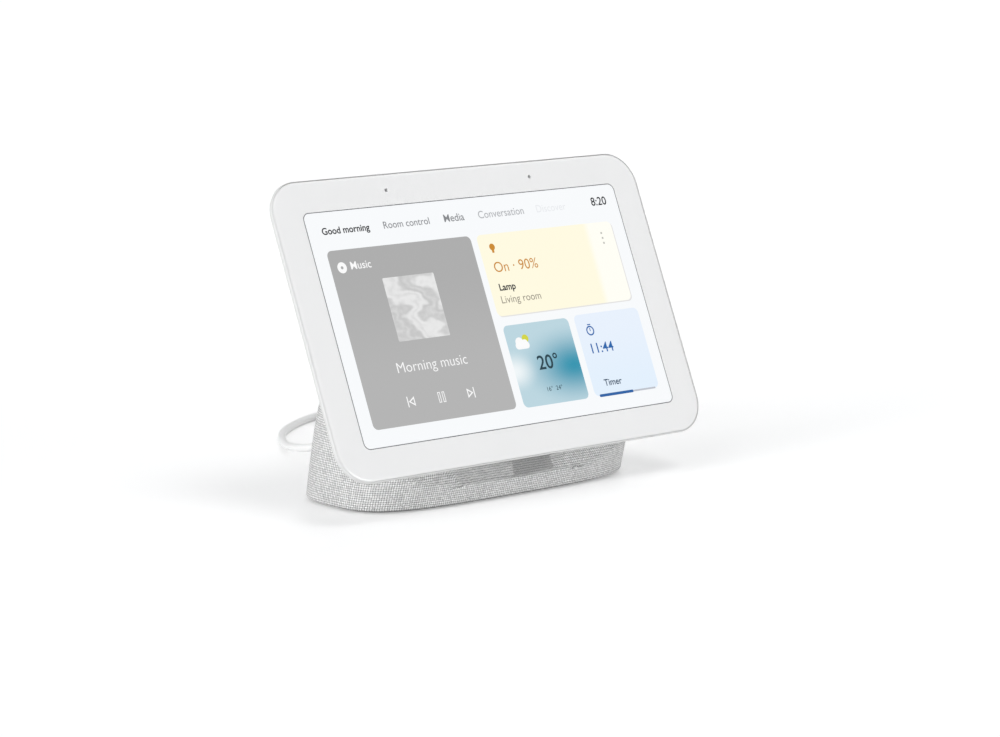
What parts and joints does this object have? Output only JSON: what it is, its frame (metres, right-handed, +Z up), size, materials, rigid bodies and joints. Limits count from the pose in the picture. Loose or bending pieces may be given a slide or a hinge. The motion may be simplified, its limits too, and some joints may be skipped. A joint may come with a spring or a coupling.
{
  "type": "smart display",
  "caption": "Tabletop smart display: a thin rounded touch screen leaning back on a fabric-covered speaker base, with volume rocker, microphone switch and power cord.",
  "frame": {"origin": "on the table, under the centre of the box round the object without its cord", "axes": "+X to the viewer's right across the screen, -Y the way the screen faces, +Z up"},
  "size_m": [0.1806, 0.1863, 0.1206],
  "materials": {
    "glass": "clear cover glass with a white printed border",
    "plastic": "fine matt white polycarbonate",
    "fabric": "tight plain weave of pale grey yarns",
    "rubber": "matt",
    "steel": "zinc plated",
    "plug_metal": "nickel plated",
    "circuit_board": "solder mask",
    "dark_plastic": "matt black",
    "foil": "satin",
    "flex_film": "amber film",
    "foam": "matt black",
    "paper_cone": "pressed paper",
    "cord_white": "soft white jacket",
    "tie_grey": "woven hook-and-loop"
  },
  "bodies": {
    "housing": {"front_glass": "glass", "glass_adhesive": "foam", "lcd_panel": "dark_plastic", "backlight_unit": "foil", "midframe": "steel", "rear_cover": "plastic", "main_board": "circuit_board", "board_shield": "foil", "heat_spreader": "foil", "microphone_left": "foil", "microphone_right": "foil", "light_sensor": "dark_plastic", "motion_sensor": "dark_plastic", "wifi_antenna": "flex_film", "mic_switch_body": "dark_plastic", "volume_board": "circuit_board", "volume_tact_up": "foil", "volume_tact_down": "foil", "neck_bracket": "steel", "neck_screw_1": "steel", "neck_screw_2": "steel", "neck_screw_3": "steel", "neck_screw_4": "steel", "display_flex": "flex_film", "head_cable": "flex_film", "fabric_sleeve": "fabric", "base_shell": "plastic", "base_plate": "plastic", "rubber_foot": "rubber", "ballast_plate": "steel", "base_screw_1": "steel", "base_screw_2": "steel", "base_screw_3": "steel", "base_screw_4": "steel", "power_jack": "dark_plastic", "jack_board": "circuit_board", "jack_bezel": "plastic", "speaker_basket": "dark_plastic", "speaker_motor": "steel", "speaker_gasket": "foam", "speaker_screw_1": "steel", "speaker_screw_2": "steel", "speaker_surround": "foam", "speaker_spider": "paper_cone", "dc_plug": "plug_metal", "plug_overmold": "cord_white", "cord_lead": "cord_white", "cord_coil": "cord_white", "cord_tie": "tie_grey", "cord_tail": "cord_white", "adapter_strain_relief": "cord_white", "power_adapter": "cord_white", "adapter_blade_1": "plug_metal", "adapter_blade_2": "plug_metal"},
    "volume_button": {"volume_rocker": "plastic"},
    "mic_slider": {"mic_switch_slider": "plastic"},
    "cone_assembly": {"speaker_cone": "paper_cone", "dust_cap": "paper_cone", "voice_coil": "flex_film"}
  },
  "joints": [
    {"name": "volume_rock", "type": "hinge", "parent": "housing", "child": "volume_button", "pos_m": [0.0767, -0.00076, 0.07649], "axis": [0.9673, -0.2323, 0.1021], "range_deg": [-2, 2], "stiffness_Nm_per_rad": 0.5},
    {"name": "mic_switch_slide", "type": "slide", "parent": "housing", "child": "mic_slider", "axis": [1, 0, 0], "range_m": [0, 0.0024]},
    {"name": "cone_stroke", "type": "slide", "parent": "housing", "child": "cone_assembly", "axis": [0, 0.9617, 0.2743], "range_m": [-0.0012, 0.0012], "stiffness_N_per_m": 1500, "deforming": ["speaker_surround", "speaker_spider"]}
  ]
}
